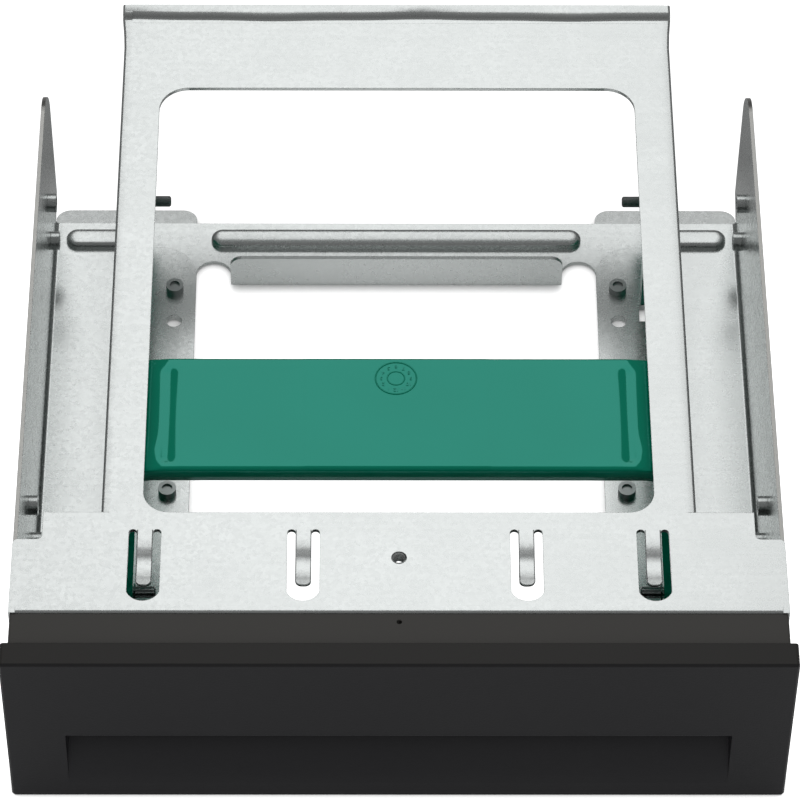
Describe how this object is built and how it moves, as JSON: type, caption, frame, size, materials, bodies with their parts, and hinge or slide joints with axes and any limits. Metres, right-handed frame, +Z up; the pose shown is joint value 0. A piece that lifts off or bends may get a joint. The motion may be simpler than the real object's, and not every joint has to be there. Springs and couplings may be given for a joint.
{
  "type": "drive mounting bracket",
  "caption": "Folded steel bracket that holds a 3.5-inch drive in a half-height 5.25-inch bay, with a riveted cage, a sliding moulded carrier with metal pins and a black front bezel.",
  "frame": {"origin": "middle of the base of the bracket's bounding box, at the bezel's lower edge", "axes": "+X to the right seen from the front, +Y from the bezel towards the open back, +Z up"},
  "size_m": [0.1482, 0.1692, 0.0433],
  "materials": {
    "galvanised_steel": "hot-dip galvanised sheet, fine spangle, satin",
    "black_plastic": "moulded, finely textured",
    "green_plastic": "moulded, glossy",
    "pin_steel": "turned, plated",
    "rivet_steel": "formed, plated"
  },
  "bodies": {
    "frame": {"tray": "galvanised_steel", "cage": "galvanised_steel", "bezel": "black_plastic", "rivet_front_left": "rivet_steel", "rivet_front_right": "rivet_steel", "rivet_rear_left": "rivet_steel", "rivet_rear_right": "rivet_steel"},
    "carrier": {"drive_carrier": "green_plastic", "pin_front_left": "pin_steel", "pin_front_right": "pin_steel", "pin_rear_left": "pin_steel", "pin_rear_right": "pin_steel"}
  },
  "joints": [
    {"name": "carrier_slide", "type": "slide", "parent": "frame", "child": "carrier", "axis": [0, 1, 0], "range_m": [0, 0.14]}
  ]
}
